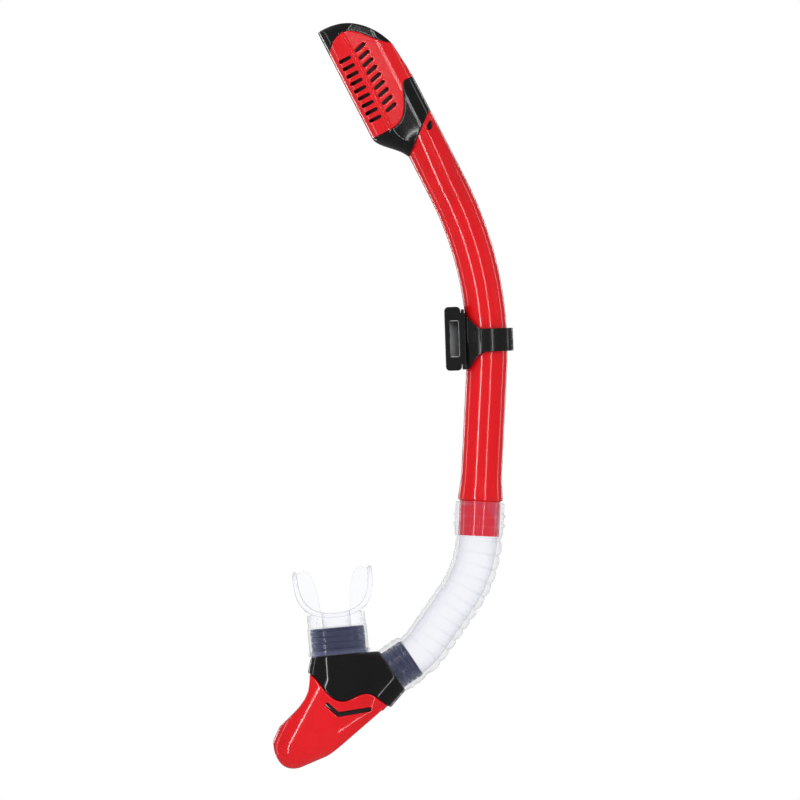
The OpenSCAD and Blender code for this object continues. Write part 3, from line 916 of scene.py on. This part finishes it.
# Broad lights that don't show in the gloss: name, place, size, power
SOFT_LIGHTS = (
    ("soft_left", (-2.4, -0.9, 1.4), 1.6, 20),
    ("soft_right", (2.4, -0.6, 1.0), 1.6, 17),
    ("soft_top", (0, -0.3, 2.6), 2.2, 16),
    ("soft_front", (0.2, -3.0, 1.0), 1.2, 22),
    ("soft_back", (0.3, 2.6, 1.4), 1.6, 24),
)


def light(name, place, width, height, power, shows):
    bpy.ops.object.light_add(type="AREA", location=place)
    o = bpy.context.active_object
    o.name = name
    o.data.shape = "RECTANGLE"
    o.data.size = width
    o.data.size_y = height
    o.data.energy = power
    o.visible_glossy = shows
    o.rotation_euler = (AIM - Vector(place)).to_track_quat("-Z", "Y").to_euler()


class MakeStage(bpy.types.Operator):
    """Pale sweep, soft studio lights and the camera"""
    bl_idname = "snorkel.stage"
    bl_label = "Stage"

    def execute(self, context):
        low = CAD_BOX[0][2] - FLOOR_DROP
        bpy.ops.object.select_all(action="DESELECT")
        bpy.ops.mesh.primitive_plane_add(size=1, location=(0, 0, low))
        floor = bpy.context.active_object
        floor.scale = (3, 3, 1)
        settle(floor, HERE)
        edit(floor)
        bpy.ops.mesh.bevel(offset=1.4, segments=24, affect="VERTICES")
        close(floor)
        floor.name = "pale_floor"
        floor.visible_glossy = False
        f = Finish("pale_paper")
        tone = tuple(context.scene.snorkel_sizes.backdrop)
        cloud = f.noise(0.8, 2, 0.5)
        floor.data.materials.append(f.set(
            Base_Color=f.ramp(cloud, (0.3, shade(tone, 0.99)), (0.7, tone)), Roughness=0.9 + cloud * 0.05,
            Emission_Color=(1, 1, 1, 1), Emission_Strength=0.24))

        world = bpy.data.worlds.new("studio")
        world.use_nodes = True
        nodes, links = world.node_tree.nodes, world.node_tree.links
        fill = nodes["Background"]
        fill.inputs[0].default_value = (1, 1, 1, 1)
        fill.inputs[1].default_value = 0.14
        seen = nodes.new("ShaderNodeBackground")
        seen.inputs[1].default_value = 1.0
        seen.inputs[0].default_value = (1, 1, 1, 1)
        path = nodes.new("ShaderNodeLightPath")
        mix = nodes.new("ShaderNodeMixShader")
        links.new(path.outputs["Is Camera Ray"], mix.inputs[0])
        links.new(fill.outputs[0], mix.inputs[1])
        links.new(seen.outputs[0], mix.inputs[2])
        links.new(mix.outputs[0], nodes["World Output"].inputs[0])
        context.scene.world = world
        context.scene.view_settings.view_transform = "Standard"

        for name, place, width, power in STRIPS:
            light(name, place, width, STRIP_HEIGHT, power, True)
        for name, place, size, power in SOFT_LIGHTS:
            light(name, place, size, size, power, False)

        roll = math.radians(CAMERA_ROLL)
        right = Vector((math.cos(roll), 0, math.sin(roll)))
        up = Vector((-math.sin(roll), 0, math.cos(roll)))
        back = Vector((0, -1, 0))
        data = bpy.data.cameras.new("camera")
        camera = bpy.data.objects.new("camera", data)
        context.scene.collection.objects.link(camera)
        data.sensor_width = 36
        data.lens = data.sensor_width * CAMERA_DISTANCE / VIEW_WIDTH
        data.clip_end = 60
        place = spot(HERE, -50.2, 0, 77.3) + back * CAMERA_DISTANCE
        turn = Matrix((right, up, back)).transposed().to_4x4()
        camera.matrix_world = Matrix.Translation(place) @ turn
        context.scene.camera = camera
        return {"FINISHED"}


# ------------------------------------------------------------------ panel
PIECES = (MakeTube, MakeDryTop, MakeClip, MakeHose, MakePurge, MakeMouthpiece, FinishInnerParts, MakeStage)


class SnorkelPanel(bpy.types.Panel):
    """Buttons and settings of the snorkel"""
    bl_idname = "VIEW3D_PT_snorkel"
    bl_label = "Snorkel"
    bl_space_type = "VIEW_3D"
    bl_region_type = "UI"
    bl_category = "Snorkel"

    def draw(self, context):
        column = self.layout.column()
        for group in (context.scene.snorkel_colours, context.scene.snorkel_sizes):
            for key in group.bl_rna.properties.keys():
                if key not in ("rna_type", "name"):
                    column.prop(group, key)
        for piece in PIECES:
            column.operator(piece.bl_idname)


CLASSES = (SnorkelColours, SnorkelSizes, *PIECES, SnorkelPanel)


def register():
    for cls in CLASSES:
        bpy.utils.register_class(cls)
    bpy.types.Scene.snorkel_colours = bpy.props.PointerProperty(type=SnorkelColours)
    bpy.types.Scene.snorkel_sizes = bpy.props.PointerProperty(type=SnorkelSizes)


def unregister():
    del bpy.types.Scene.snorkel_sizes
    del bpy.types.Scene.snorkel_colours
    for cls in reversed(CLASSES):
        bpy.utils.unregister_class(cls)


def main():
    register()
    bpy.ops.snorkel.tube()
    bpy.ops.snorkel.dry_top()
    bpy.ops.snorkel.clip()
    bpy.ops.snorkel.hose()
    bpy.ops.snorkel.purge()
    bpy.ops.snorkel.mouthpiece()
    bpy.ops.snorkel.inner_parts()
    bpy.ops.snorkel.stage()


if __name__ == "__main__":
    main()
